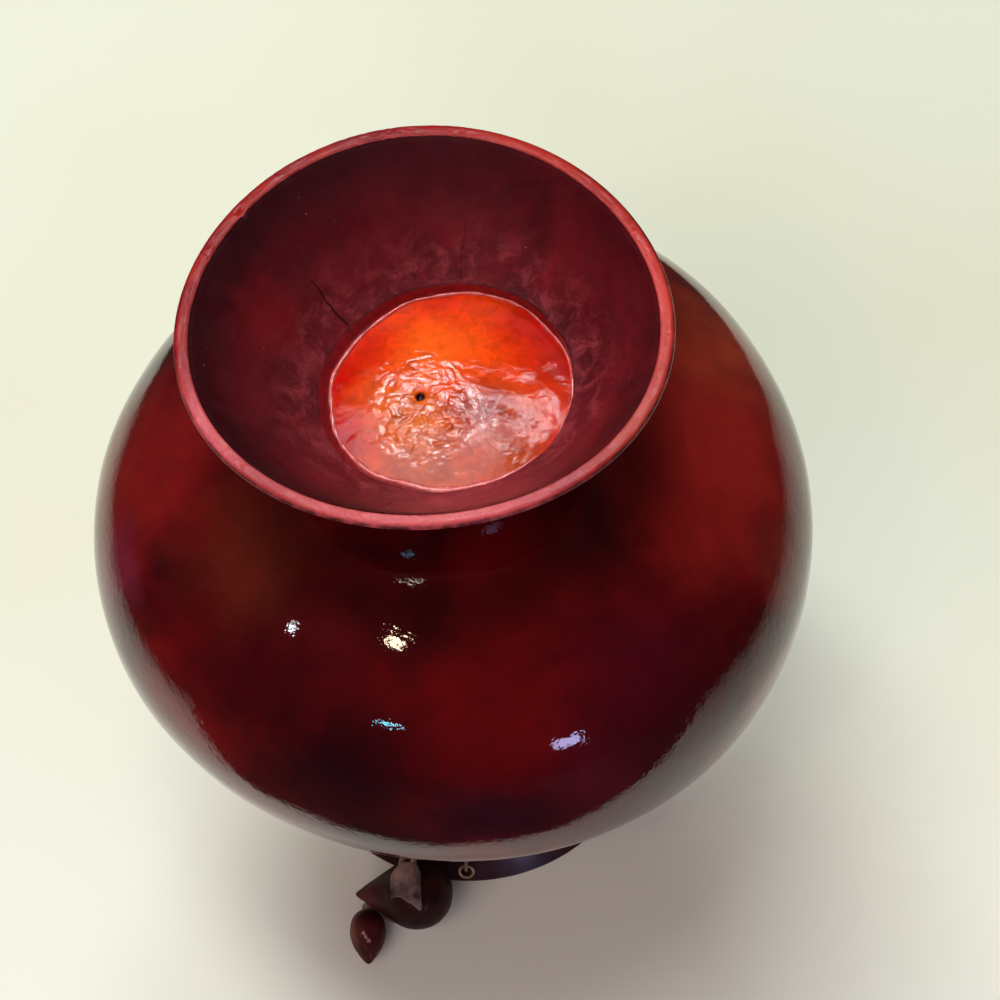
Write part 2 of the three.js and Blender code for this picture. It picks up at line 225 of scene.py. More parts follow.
class Finish:
    # a material with short ways to add its nodes
    def __init__(self, name, **settings):
        self.material = bpy.data.materials.new(name)
        self.material.use_nodes = True
        self.nodes, self.links = self.material.node_tree.nodes, self.material.node_tree.links
        self.shader = self.nodes["Principled BSDF"]
        self.put(**settings)
        self.place = self.nodes.new("ShaderNodeTexCoord").outputs["Object"]

    def put(self, **settings):
        for key, value in settings.items():
            self.feed(self.shader.inputs[sockets[key]], value)

    def feed(self, socket, value):
        # value is another node's output, a colour, a vector or a number
        if hasattr(value, "is_output"):
            self.links.new(value, socket)
        elif hasattr(value, "__len__") and len(socket.default_value) == 4:
            socket.default_value = (*value, 1)
        else:
            socket.default_value = value

    def noise(self, size, detail=4, rough=0.5, twist=0.0, output="Fac"):
        node = self.nodes.new("ShaderNodeTexNoise")
        self.links.new(self.place, node.inputs["Vector"])
        node.inputs["Scale"].default_value = 1 / (size * mm)
        node.inputs["Detail"].default_value = detail
        node.inputs["Roughness"].default_value = rough
        node.inputs["Distortion"].default_value = twist
        return node.outputs[output]

    def cells(self, size):
        node = self.nodes.new("ShaderNodeTexVoronoi")
        self.links.new(self.place, node.inputs["Vector"])
        node.inputs["Scale"].default_value = 1 / (size * mm)
        return node.outputs["Distance"]

    def field(self, name):
        node = self.nodes.new("ShaderNodeAttribute")
        node.attribute_name = name
        return node.outputs["Fac"]

    def part(self, axis):
        node = self.nodes.new("ShaderNodeSeparateXYZ")
        self.links.new(self.place, node.inputs[0])
        return node.outputs[axis]

    def math(self, operation, a, b=0.0):
        node = self.nodes.new("ShaderNodeMath")
        node.operation = operation
        self.feed(node.inputs[0], a)
        self.feed(node.inputs[1], b)
        return node.outputs[0]

    def times(self, a, b):
        return self.math("MULTIPLY", a, b)

    def vector(self, operation, a, b, output="Vector"):
        node = self.nodes.new("ShaderNodeVectorMath")
        node.operation = operation
        self.feed(node.inputs[0], a)
        self.feed(node.inputs["Scale" if operation == "SCALE" else 1], b)
        return node.outputs[output]

    def span(self, value, low, high, start=0.0, end=1.0):
        # goes smoothly from start to end while the value goes from low to high
        node = self.nodes.new("ShaderNodeMapRange")
        node.interpolation_type = "SMOOTHSTEP"
        for socket, number in zip(node.inputs, (value, low, high, start, end)):
            self.feed(socket, number)
        return node.outputs[0]

    def ramp(self, value, *stops):
        node = self.nodes.new("ShaderNodeValToRGB")
        self.links.new(value, node.inputs[0])
        band = node.color_ramp
        while len(band.elements) < len(stops):
            band.elements.new(0.5)
        for element, (at, colour) in zip(band.elements, stops):
            element.position, element.color = at, (*colour, 1)
        return node.outputs[0]

    def mix(self, share, a, b, way="MIX"):
        node = self.nodes.new("ShaderNodeMix")
        node.data_type, node.blend_type = "RGBA", way
        for index, value in ((0, share), (6, a), (7, b)):
            self.feed(node.inputs[index], value)
        return node.outputs[2]

    def shaded(self, colour, clouds, low, high, dark, light=1.0):
        shade = self.span(clouds, low, high, dark, light)
        return self.mix(1.0, colour, self.ramp(shade, (0, black), (1, white)), "MULTIPLY")

    def patched(self, colour, patches, stray, size, gain=1.0):
        # patches with ragged edges, which paint tones and, on some pieces, light and shade: colour, centre,
        # radius and strength of each
        ragged = self.vector("SUBTRACT", self.noise(size, output="Color"), (0.5, 0.5, 0.5))
        place = self.vector("ADD", self.place, self.vector("SCALE", ragged, stray * mm))
        for tint, centre, radius, strength in patches:
            away = self.vector("DISTANCE", place, tuple(c * mm for c in centre), "Value")
            share = self.span(away, radius * 0.1 * mm, radius * 1.15 * mm, strength, 0)
            colour = self.mix(share, colour, tuple(gain * c for c in srgb(*tint)))
        return colour

    def bump(self, height, depth, under=None):
        node = self.nodes.new("ShaderNodeBump")
        node.inputs["Distance"].default_value = depth * mm
        self.links.new(height, node.inputs["Height"])
        if under is not None:
            self.links.new(under, node.inputs["Normal"])
        return node.outputs[0]


# mottled maroon dye under a clear coat, which runs more below the shoulder
varnish = dict(
    deep=srgb(50, 5, 11), maroon=srgb(80, 8, 12), blood=srgb(106, 11, 14), blotch=48, cloud=15,
    roughness=0.45, coatRoughness=0.03, ripple=1.2, rippleDepth=0.022, wave=2.6, waveDepth=0.1,
    shoulder=196, belly=178, shoulderWave=0.35, stray=34, ragged=24, gain=1.1,
    patches=(
        ((146, 32, 27), (84, -10, 208), 50, 0.9),
        ((140, 26, 23), (77, -41, 210), 28, 0.75),
        ((144, 50, 31), (90, 32, 204), 33, 0.9),
        ((119, 22, 22), (-97, -6, 203), 38, 0.85),
        ((92, 30, 18), (-62, -47, 213), 30, 0.8),
        ((72, 7, 12), (-66, -74, 194), 32, 0.6),
        ((82, 12, 15), (-37, -71, 214), 20, 0.7),
        ((100, 8, 12), (4, -94, 204), 42, 0.65),
        ((42, 6, 9), (-8, -76, 215), 19, 0.7),
        ((27, 4, 11), (-37, -109, 178), 42, 0.92),
        ((84, 6, 12), (11, -110, 188), 17, 0.6),
        ((40, 6, 22), (6, -119, 168), 26, 0.85),
        ((76, 12, 30), (40, -110, 175), 24, 0.6),
        ((84, 8, 24), (54, -84, 200), 32, 0.75),
        ((60, 8, 15), (72, -92, 176), 26, 0.75),
        # partly a violet tone, partly a painted violet sheen at the left edge of the body
        ((118, 34, 56), (-110, -30, 182), 20, 0.7),
        ((122, 40, 34), (104, -42, 186), 20, 0.7),
        ((84, 30, 16), (-20, 96, 190), 44, 0.6),
        ((122, 24, 20), (60, 88, 185), 42, 0.7),
        ((36, 5, 22), (-84, 72, 160), 42, 0.7),
        ((100, 11, 14), (-96, 44, 122), 40, 0.6),
        ((40, 5, 14), (86, 60, 122), 46, 0.7),
        ((96, 12, 15), (30, -98, 118), 42, 0.6),
    ),
)
footPatches = varnish["patches"][-6:]  # the outside of the foot has only the patches of the back


def varnishFinish(name, patches):
    look = varnish
    f = Finish(name, roughness=look["roughness"], specular=0.0,
               coat=1.0, coatRoughness=look["coatRoughness"], coatIor=1.5)
    blotches = f.noise(look["blotch"], 3, 0.55, 0.7)
    colour = f.ramp(blotches, (0.34, look["deep"]), (0.5, look["maroon"]), (0.66, look["blood"]))
    colour = f.patched(colour, patches, look["stray"], look["ragged"], look["gain"])
    colour = f.shaded(colour, f.noise(look["cloud"], 5, 0.6, 0.4), 0.3, 0.7, 0.78)
    ripple = f.bump(f.noise(look["ripple"], 2), look["rippleDepth"])
    running = f.span(f.part("Z"), look["shoulder"] * mm, look["belly"] * mm, look["shoulderWave"], 1.0)
    wave = f.bump(f.times(f.noise(look["wave"], 2), running), look["waveDepth"], ripple)
    f.put(colour=colour, coatNormal=wave)
    return f.material


# orange end of the gourd that shows inside the foot, with dark fissures and the scar of the blossom
blossom = dict(
    orange=srgb(252, 76, 6), line=srgb(146, 46, 14), scarColour=srgb(34, 7, 7), roughness=0.5,
    coatRoughness=0.045, stray=12, ragged=11, cloud=5, fine=0.8, fineDepth=0.05, lump=2.6, lumpDepth=0.14,
    patches=(
        ((255, 100, 24), (-4, 15, 230), 20, 0.7),
        ((226, 36, 8), (-1, 38, 230), 19, 0.85),
        ((196, 8, 3), (-36, 5, 230), 24, 1.0),
        ((208, 26, 6), (-26, 21, 230), 20, 0.85),
        ((190, 18, 10), (34, 24, 230), 30, 1.0),
        ((176, 14, 10), (41, 3, 230), 19, 0.95),
        ((240, 100, 30), (-17, -5, 230), 17, 0.85),
        ((190, 26, 18), (-35, -17, 230), 19, 1.0),
        ((190, 78, 28), (-6, -30, 230), 27, 1.0),
        ((188, 70, 22), (21, -26, 230), 23, 1.0),
        ((150, 50, 30), (12, -9, 230), 18, 0.95),
        ((218, 106, 44), (-10, -13, 230), 15, 0.85),
        ((200, 42, 24), (35, -17, 230), 14, 0.85),
    ),
)


def blossomFinish():
    look = blossom
    f = Finish("blossom_end", roughness=look["roughness"], specular=0.0,
               coat=1.0, coatRoughness=look["coatRoughness"])
    colour = f.patched(look["orange"], look["patches"], look["stray"], look["ragged"])
    colour = f.shaded(colour, f.noise(look["cloud"], 5, 0.65, 0.8), 0.3, 0.66, 0.72)
    colour = f.mix(f.span(f.field("fissure"), 0.15, 0.8, 0, 0.6), colour, look["line"])
    colour = f.mix(f.span(f.field("scar"), 0.25, 0.7), colour, look["scarColour"])
    lumps = f.bump(f.noise(look["lump"], 3), look["lumpDepth"])
    f.put(colour=colour, coatNormal=f.bump(f.noise(look["fine"], 3, 0.6), look["fineDepth"], lumps))
    return f.material


# matte inside of the foot: scuffed and pinker towards the hole, with painted shade towards the lip on the left
# and a painted sheen on the front wall
bareGourd = dict(
    dark=srgb(70, 11, 19), maroon=srgb(100, 18, 28), red=srgb(122, 13, 22), shade=srgb(46, 6, 12),
    rose=srgb(148, 56, 64), fleckColour=srgb(206, 140, 138), crackAndShadowColour=srgb(24, 4, 7),
    roughness=0.62, specular=0.25, mottle=24, scuff=7, scratch=1.3, streak=18, fleck=4.5, fleckGroup=15,
    scuffHigh=250, scuffLow=232, shadeLow=246, shadeHigh=266,
    stray=20, ragged=9, fine=0.7, fineDepth=0.1, lump=5, lumpDepth=0.3,
    # the first patch is a painted sheen on the front wall of the bowl; the second is a red tone
    patches=(((160, 54, 62), (6, -52, 245), 36, 0.6), ((132, 14, 20), (-52, 16, 250), 16, 0.5)),
)


def bowlFinish():
    look = bareGourd
    f = Finish("bare_gourd", roughness=look["roughness"], specular=look["specular"])
    colour = f.ramp(f.noise(look["mottle"], 5, 0.6, 0.5), (0.32, look["dark"]), (0.62, look["maroon"]))
    height = f.part("Z")
    low = f.span(height, look["scuffHigh"] * mm, look["scuffLow"] * mm)
    scratched = f.span(f.noise(look["scratch"], 3, 0.7), 0.3, 0.7, 0.45, 1.0)
    scuff = f.times(f.span(f.noise(look["scuff"], 5, 0.7, 0.6), 0.42, 0.7), scratched)
    colour = f.mix(f.times(low, scuff), colour, look["rose"])
    streak = f.times(f.span(f.noise(look["streak"], 4, 0.65, 0.9), 0.55, 0.75), 0.5)
    colour = f.mix(streak, colour, look["red"])
    # painted shade: darker towards the lip, more so on the left
    high = f.span(height, look["shadeLow"] * mm, look["shadeHigh"] * mm)
    leftward = f.span(f.part("X"), 0.03, -0.03, 0.35, 0.85)
    colour = f.mix(f.times(high, leftward), colour, look["shade"])
    colour = f.patched(colour, look["patches"], look["stray"], look["ragged"])
    grouped = f.span(f.noise(look["fleckGroup"], 2), 0.5, 0.7)
    fleck = f.times(f.span(f.cells(look["fleck"]), 0.1, 0.02), grouped)
    colour = f.mix(f.times(fleck, 0.6), colour, look["fleckColour"])
    # dark cracks, and the painted shadow line along the hole's upper edge
    colour = f.mix(f.span(f.field("crackAndShadowLine"), 0.15, 0.7), colour, look["crackAndShadowColour"])
    lumps = f.bump(f.noise(look["lump"], 4), look["lumpDepth"])
    f.put(colour=colour, roughness=f.span(f.noise(9, 4), 0.35, 0.7, 0.5, 0.75),
          normal=f.bump(f.noise(look["fine"], 4, 0.7), look["fineDepth"], lumps))
    return f.material


# cut lip of the foot: red, paler pink towards the front where a sheen is painted, darker at the outer edge,
# and with a painted highlight line along the inner edge
lip = dict(
    red=srgb(144, 22, 25), crimson=srgb(120, 14, 25), orange=srgb(172, 36, 24), dark=srgb(72, 9, 13),
    # edge is the colour of the painted highlight line along the lip's inner edge
    edge=srgb(196, 84, 82), roughness=0.25, specular=0.36, mottle=11, speck=1.1, breaks=5,
    stray=18, ragged=9, fine=0.7, fineDepth=0.07, lump=3, lumpDepth=0.12,
    # the pale pink patches towards the front are painted sheen; the others are red and orange tones
    patches=(((206, 84, 90), (-6, -76, 267), 62, 0.95), ((204, 58, 48), (70, 6, 267), 48, 0.9),
             ((214, 92, 102), (-67, -36, 267), 26, 0.8), ((186, 38, 20), (30, 61, 267), 34, 0.75),
             ((200, 80, 70), (57, -38, 267), 22, 0.6)),
)


def lipFinish():
    look = lip
    f = Finish("cut_lip", roughness=look["roughness"], specular=look["specular"])
    mottle = f.noise(look["mottle"], 5, 0.65)
    colour = f.ramp(mottle, (0.3, look["crimson"]), (0.5, look["red"]), (0.72, look["orange"]))
    colour = f.patched(colour, look["patches"], look["stray"], look["ragged"])
    colour = f.mix(f.span(f.noise(look["speck"], 3, 0.7), 0.52, 0.74, 0, 0.5), colour, look["dark"])
    broken = f.span(f.noise(look["breaks"], 4, 0.6), 0.35, 0.6, 0.35, 0.95)
    # darker at the outer edge, and a painted highlight line along the inner edge
    for start, end, tint in ((0.74, 0.97, look["dark"]), (0.13, 0.03, look["edge"])):  # outer and inner edge
        colour = f.mix(f.times(f.span(f.field("across"), start, end), broken), colour, tint)
    lumps = f.bump(f.noise(look["lump"], 3), look["lumpDepth"])
    f.put(colour=colour, roughness=f.span(f.noise(2.4, 4), 0.3, 0.7, 0.26, 0.42),
          normal=f.bump(f.noise(look["fine"], 3, 0.7), look["fineDepth"], lumps))
    return f.material


def holeFinish():
    f = Finish("hole_edge", roughness=0.5, coat=0.3, coatRoughness=0.25)
    f.put(colour=f.ramp(f.noise(3, 4, 0.6), (0.3, srgb(104, 4, 12)), (0.7, srgb(140, 8, 16))),
          normal=f.bump(f.noise(0.7, 3), 0.1))
    return f.material


def plainFinish(name, dark, light, size, roughness, depth, fine, patches=(), **settings):
    # two tones in clouds of one size, with fine bumps of another
    f = Finish(name, roughness=roughness, **settings)
    colour = f.ramp(f.noise(size, 5, 0.6, 0.4), (0.32, srgb(*dark)), (0.68, srgb(*light)))
    if patches:
        colour = f.patched(colour, patches, 2, 2.5)
    colour = f.shaded(colour, f.noise(fine * 2, 3, 0.7), 0.3, 0.75, 0.78, 1.12)
    f.put(colour=colour, normal=f.bump(f.noise(fine, 3, 0.65), depth))
    return f.material


# painted light and shade on the suede tab: lighter on top and at the right tip, darker on the left
tabPaintedLightAndShade = (((176, 138, 124), (-26.5, -74, 29), 6.5, 0.9), ((44, 27, 26), (-30, -82, 26.5), 6.5, 0.85),
              ((120, 100, 104), (-22, -86.5, 27), 4, 0.8))
# a redder tip, and painted shade darkening the front of the nut
nutTipAndPaintedShade = (((84, 27, 29), (-41, -75.5, 15), 10, 0.9), ((22, 7, 7), (-22.8, -90.4, 15.8), 11, 0.85))
# painted light on the seed's left side, and a darker tone at its root
seedTonesAndPaintedLight = [((116, 58, 50), (-46.5, -88.5, 11.5), 6.5, 0.85), ((40, 8, 14), (-39, -83, 15), 5, 0.6)]
# three pale spots in a row paint the highlight streak on the seed's coat
paintedSeedHighlight = ((-42.1, -90.5, 13.6), (-41.2, -91.7, 13.2), (-40.3, -92.9, 12.7))
seedTonesAndPaintedLight += [((206, 160, 162), place, 1.0, 0.9) for place in paintedSeedHighlight]
finishes = dict(
    body=varnishFinish("varnished_gourd", varnish["patches"]),
    foot=varnishFinish("varnished_foot", footPatches),
    blossom=blossomFinish(),
    bowl=bowlFinish(),
    lip=lipFinish(),
    hole=holeFinish(),
    inside=plainFinish("gourd_inside", (120, 88, 58), (160, 124, 86), 9, 0.85, 0.3, 1.2),
    collar=plainFinish("collar_gourd", (34, 7, 11), (62, 12, 16), 18, 0.36, 0.05, 1.4,
                       coat=0.6, coatRoughness=0.12),
    filler=plainFinish("filler", (58, 16, 16), (104, 34, 30), 6, 0.6, 0.2, 1.0),
    glueLine=plainFinish("glue_line", (196, 56, 54), (236, 118, 116), 4, 0.25, 0.05, 0.6,
                         coat=1.0, coatRoughness=0.1),
    suede=plainFinish("suede", (108, 82, 74), (166, 136, 126), 3.5, 0.95, 0.16, 0.35, sheen=0.2),
    tab=plainFinish("suede_tab", (62, 40, 38), (134, 106, 102), 4.5, 0.95, 0.2, 0.4, tabPaintedLightAndShade, sheen=0.15),
    nut=plainFinish("nut", (34, 11, 11), (60, 22, 20), 6, 0.5, 0.03, 0.8, nutTipAndPaintedShade,
                    specular=0.1, coat=0.05, coatRoughness=0.15),
    seed=plainFinish("seed", (58, 18, 20), (84, 30, 28), 5, 0.5, 0.03, 0.8, seedTonesAndPaintedLight,
                     specular=0.1, coat=0.2, coatRoughness=0.16),
    brass=plainFinish("brass", (222, 178, 122), (244, 212, 168), 2, 0.42, 0.01, 0.3, metallic=1.0),
)
print("finishes made:", len(finishes))


def dress(piece, body, slotName, node, *materials):
    for key in materials:
        piece.data.materials.append(finishes[key])
    if node:
        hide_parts(node)
    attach(piece, body)
    return piece


# gourd body: the same outline as the solid, with the puckered blossom end and a slightly uneven skin
gourd = dict(
    radius=120.0, crownRise=77.2, shoulderDrop=78.1, fullness=2.1, wall=5.0, lobe=1.1, lobeAngle=-49.0,
    neckLength=76.4,
    collarRadius=47.0, collarWall=4.3,  # of the collar where it is glued on
    columns=264, crownRows=90, sideRows=112, insideRows=36, crownEdge=40.0,
    swell=0.35, swellSize=34, dimple=0.09, dimpleSize=9, sunk=0.6, glued=44, free=62,
    scar=(-7.9, -3.2), scarRadius=1.9, scarDepth=1.4, pucker=0.5, puckerReach=8, scarNear=30,
    stray=2.2, straySize=5.0, arcPitch=2.6, arcReach=1.3, arcHeading=1.9, fold=0.05,
    crackle=3.2, squeeze=1.5, fissure=0.1, fissureGaps=4.0,
    flake=0.34, flakeMiddle=(1.0, -11.0), flakeReach=(8, 17.5),
    lump=0.2, lumpSize=6.5, grainy=0.05, grainSize=2.1, flatReach=(34, 39),
)
equator = gourd["neckLength"] + gourd["shoulderDrop"]


def lobeAt(angle):
    return 1 + gourd["lobe"] / gourd["radius"] * np.cos(3 * (angle - math.radians(gourd["lobeAngle"])))


def roundness(r):
    return np.maximum(0, 1 - (r / gourd["radius"]) ** gourd["fullness"]) ** (1 / gourd["fullness"])


def crownAt(r):
    return equator + gourd["crownRise"] * roundness(r)


def domeAt(x, y):
    return crownAt(np.hypot(x, y) / lobeAt(np.arctan2(y, x)))


def shoulderAt(r):
    return equator - gourd["shoulderDrop"] * roundness(r)


def outlineAngle(r, inset):
    return math.asin((r / (gourd["radius"] - inset)) ** (gourd["fullness"] / 2))


def bodyShell(s, inset, a):
    # rows at the outline angles s, which go from the crown down to the neck
    power = 2 / gourd["fullness"]
    r = (gourd["radius"] - inset) * np.abs(np.sin(s)) ** power
    rise = np.where(s < math.pi / 2, gourd["crownRise"], gourd["shoulderDrop"]) - inset
    z = equator + rise * np.sign(np.cos(s)) * np.abs(np.cos(s)) ** power
    return straight(a, r[:, None] * lobeAt(a), z[:, None])


def unevenSkin(points):
    # the skin swells and dips a little, but not where the foot and the collar are glued on
    g = gourd
    out = (points - np.array([0, 0, equator])) / np.array([g["radius"], g["radius"], g["crownRise"]]) ** 2
    out /= np.linalg.norm(out, axis=-1)[..., None]
    skin = g["swell"] * (grain(points, g["swellSize"]) - g["sunk"])
    skin += g["dimple"] * (grain(points, g["dimpleSize"], 7) - g["sunk"])
    return out * (skin * ease(np.hypot(points[..., 0], points[..., 1]), g["glued"], g["free"]))[..., None]


def blossomEnd(points):
    # folds run round the scar, and the skin before it is broken into small tilted flakes
    g = gourd
    fromScar = points[..., :2] - np.array(g["scar"])
    rho = np.linalg.norm(fromScar, axis=-1)
    crownSide = points[..., 2] > equator
    near = (rho < g["scarNear"]) & crownSide
    spot = points[near]
    strayed = np.stack([grain(spot, g["straySize"], shift) for shift in (1, 21)], -1)
    bent = fromScar[near] + g["stray"] * strayed
    far, turn = np.linalg.norm(bent, axis=-1), np.arctan2(bent[:, 1], bent[:, 0])
    arcs = np.stack([g["arcReach"] * np.cos(turn), g["arcReach"] * np.sin(turn), far / g["arcPitch"]], -1)
    arcs = 1 - ease(np.abs(grain(arcs, 1.0, 3)), 0.02, 0.3)
    arcs = arcs * ease(far, 2.2, 4.0) * (1 - ease(far, 14, 21)) * (0.5 + 0.5 * np.cos(turn - g["arcHeading"]))
    inCells = bent / g["crackle"] * np.array([1, g["squeeze"]])
    cells = [noise.voronoi((px, py, 0.3)) for px, py in inCells.tolist()]
    seats = np.array([tuple(c[1][0]) for c in cells])
    cracks = 1 - ease(np.array([c[0][1] - c[0][0] for c in cells]), 0.02, 0.14)
    flaked = 1 - ease(np.linalg.norm(bent - np.array(g["flakeMiddle"]), axis=-1), *g["flakeReach"])
    cracks *= ease(far, 1.6, 3.4) * flaked
    lean = np.array([tuple(noise.noise_vector(p * 5.3)) for p in seats])[:, :2]
    tilt = ((inCells - seats[:, :2]) * lean).sum(-1) * g["crackle"] * (1 - cracks) * flaked
    fissure, rise = np.zeros_like(rho), np.zeros_like(rho)
    fissure[near] = np.maximum(0.7 * arcs, cracks) * ease(grain(spot, g["fissureGaps"], 13), -0.45, 0.0)
    rise[near] = g["flake"] * tilt - g["fold"] * arcs
    pit = np.exp(-(rho / g["scarRadius"]) ** 2) * crownSide
    pucker = np.exp(-(rho / g["puckerReach"]) ** 2) * crownSide
    rise -= g["fissure"] * fissure + g["scarDepth"] * pit + g["pucker"] * pucker
    flatness = (1 - ease(np.hypot(points[..., 0], points[..., 1]), *g["flatReach"])) * crownSide
    lumps = g["lump"] * grain(points, g["lumpSize"], 17) + g["grainy"] * grain(points, g["grainSize"], 19)
    rise += flatness * lumps
    return fissure, pit, rise


def gourdBody():
    g = gourd
    a = around(g["columns"])[None, :]
    opening = g["collarRadius"] - g["collarWall"]
    edge = outlineAngle(g["crownEdge"], 0)
    crown = edge * np.linspace(0, 1, g["crownRows"])
    side = np.linspace(edge, math.pi - outlineAngle(opening, 0), g["sideRows"])[1:]
    inside = np.linspace(math.pi - outlineAngle(opening, g["wall"]), 0, g["insideRows"])
    outer, inner = bodyShell(np.concatenate([crown, side]), 0.0, a), bodyShell(inside, g["wall"], a)
    outer += unevenSkin(outer)
    fissure, pit, rise = blossomEnd(outer)
    outer[..., 2] += rise
    blank = np.zeros(inner.shape[:2])
    rowSlots = [1] * (len(crown) - 1) + [0] * len(side) + [2] * len(inside)
    return gridObject("gourdBody", np.concatenate([outer, inner]), False, rowSlots,
                      dict(fissure=np.concatenate([fissure, blank]), scar=np.concatenate([pit, blank])))


dress(gourdBody(), "vase", "varnished_gourd", "gourd_body", "body", "blossom", "inside")
print("gourd body made")


# foot ring: a flared bowl with a hole in its floor, cracked inside, with a cut lip
foot = dict(
    holeRadius=37.2, holeBevel=2.8, holeWall=3.4, holeLobe=1.2, holeLobeAngle=38.0, holeShift=2.0,
    holeWaves=((3, 80.0, 0.5), (7, 12.0, 0.3), (12, 21.0, 0.2)),  # cut by hand: count, angle and height
    bowlDepth=35.6, bowlPower=0.82, seat=0.3,
    rimRadius=73.7, rimWall=4.3, rimLobe=1.0, rimLobeAngle=-30.0, rimShift=-5.1,
    columns=300, bowlRows=64, outsideRows=48, lipWrap=3.2, innerEdge=0.7, outerEdge=1.5, lipTilt=0.08,
    steep=0.34, steepSwing=0.4, steepAngle=20.0, steepPower=7,
    uneven=0.3, unevenSize=22, rough=0.09, roughSize=2.6,
    # cracks: angle low and high, share of the bowl's depth low and high, half width, depth
    cracks=((142.4, 139.6, 0.0, 0.42, 0.27, 0.65), (104.0, 93.0, 0.0, 0.6, 0.15, 0.3),
            (84.0, 77.6, 0.0, 0.56, 0.13, 0.28), (160.4, 156.0, 0.0, 0.25, 0.14, 0.25),
            (-141.6, -136.0, 0.14, 0.54, 0.13, 0.2), (-108.0, -107.0, 0.3, 0.6, 0.2, 0.35),
            (-91.5, -92.5, 0.5, 0.85, 0.2, 0.3), (28.0, 24.0, 0.02, 0.3, 0.13, 0.2)),
    crackStep=0.16 / 46, crackMargin=1.2 / 50, leastStep=0.0012,  # columns at the cracks, in radians
    # the last is the width of the painted shadow line along the hole's upper edge
    crackWander=0.9, crackFull=0.45, paintedShadowLine=0.35,
    chip=0.3, chipSize=1.7, chipLess=0.06, dip=0.3, dipSize=14,
    nick=(142.0, 1.3, 1.0),  # angle, size and depth
)
seatHeight = float(crownAt(foot["holeRadius"]))
bowlFloor = seatHeight + foot["holeWall"]
rimHeight = bowlFloor + foot["bowlDepth"]
lipIn, lipOut, lipEnd = foot["rimRadius"] - foot["rimWall"], foot["rimRadius"], rimHeight - foot["lipTilt"]
bowlFace, lipFace, holeFace, outerFace = range(4)  # finishes of the foot ring, in the order that it gets them


def footWarp(angle, r, z):
    # the ring is out of round, more to one side at the rim than at the hole
    f = foot
    u = np.clip((z - seatHeight) / (rimHeight - seatHeight), 0, 1)
    hole = (1 - u) * f["holeLobe"] / f["holeRadius"] * np.cos(2 * (angle - math.radians(f["holeLobeAngle"])))
    for count, at, height in f["holeWaves"]:
        hole = hole + (1 - u) ** 8 * height / f["holeRadius"] * np.cos(count * (angle - math.radians(at)))
    rim = u * f["rimLobe"] / f["rimRadius"] * np.cos(3 * (angle - math.radians(f["rimLobeAngle"])))
    points = straight(angle, r * (1 + hole + rim), z)
    points[..., 0] += f["holeShift"] + (f["rimShift"] - f["holeShift"]) * u
    return points


def bowlRadius(t):
    start = foot["holeRadius"] + foot["holeBevel"]
    return start + (lipIn - start) * np.maximum(t, 0) ** foot["bowlPower"]


def footColumns():
    # more columns where the cracks run
    f = foot
    columns = list(around(f["columns"]))
    for low, high, *rest in f["cracks"]:
        start, end = sorted((math.radians(low), math.radians(high)))
        columns += list(np.arange(start - f["crackMargin"], end + f["crackMargin"], f["crackStep"]))
    columns = np.sort(np.mod(columns, 2 * math.pi))
    gaps = np.diff(np.append(columns, columns[0] + 2 * math.pi))
    return columns[gaps > f["leastStep"]]


def footProfile():
    # radius, height and face of each row: up the hole's wall and the bowl, over the lip, down the outside
    f = foot
    hole, bevel, wall, drop = f["holeRadius"], f["holeBevel"], f["rimWall"], f["holeWall"]
    inEdge, outEdge = f["innerEdge"], f["outerEdge"]
    arc = np.linspace(0, math.pi / 2, 5)
    rows = [(hole + bevel * k, seatHeight + drop * k, holeFace) for k in np.linspace(0, 0.9, 6)]
    t = np.linspace(0, 1, f["bowlRows"]) ** 1.2
    heights = bowlFloor + f["bowlDepth"] * t
    rows += [(r, z, bowlFace) for r, z in zip(bowlRadius(t), heights) if z < rimHeight - inEdge - 0.2]
    rows += [(lipIn + inEdge * (1 - math.cos(k)), rimHeight - inEdge * (1 - math.sin(k)), lipFace)
             for k in arc]
    rows += [(lipIn + inEdge + (wall - inEdge - outEdge) * k, rimHeight - f["lipTilt"] * k * k, lipFace)
             for k in np.linspace(0.12, 1, 9)]
    rows += [(lipOut - outEdge * (1 - math.sin(k)), lipEnd - outEdge * (1 - math.cos(k)), lipFace)
             for k in arc[1:]]
    t = np.linspace(1, 0, f["outsideRows"])
    rows += [(r + wall, z, lipFace if z > lipEnd - f["lipWrap"] else outerFace)
             for r, z in zip(bowlRadius(t), bowlFloor + f["bowlDepth"] * t) if z < lipEnd - outEdge - 0.4]
    rows += [(hole + wall + bevel * k, seatHeight + drop * k, outerFace) for k in np.linspace(0.75, 0, 4)]
    rows += [(hole + wall * k, seatHeight, outerFace) for k in np.linspace(1, 0, 6)[1:-1]]
    return (np.array(column)[:, None] for column in zip(*rows))


def footCracks(a, r, depth, face):
    # how dark each point is, and how far it is pushed into the wall
    f = foot
    crackAndShadowLine = np.zeros((len(r), a.shape[1]))
    push = np.zeros_like(crackAndShadowLine)
    for number, (low, high, start, end, width, deep) in enumerate(f["cracks"]):
        share = np.clip((depth - start) / (end - start), -0.2, 1.2)
        wobble = np.array([noise.noise((number * 9.1, s * 6, 0.5)) for s in share.ravel().tolist()])[:, None]
        middle = np.radians(low + (high - low) * share) + wobble * f["crackWander"] / r
        off = np.angle(np.exp(1j * (a - middle))) * r
        fade = ease(share, -0.03, 0.05) * (1 - ease(share, 0.6, 1.02))
        cut = np.exp(-(off / width) ** 2) * fade * ((face == bowlFace) | (face == holeFace))
        crackAndShadowLine = np.maximum(crackAndShadowLine, cut * min(1.0, deep / f["crackFull"]))
        push = np.maximum(push, cut * deep)
    return crackAndShadowLine, push


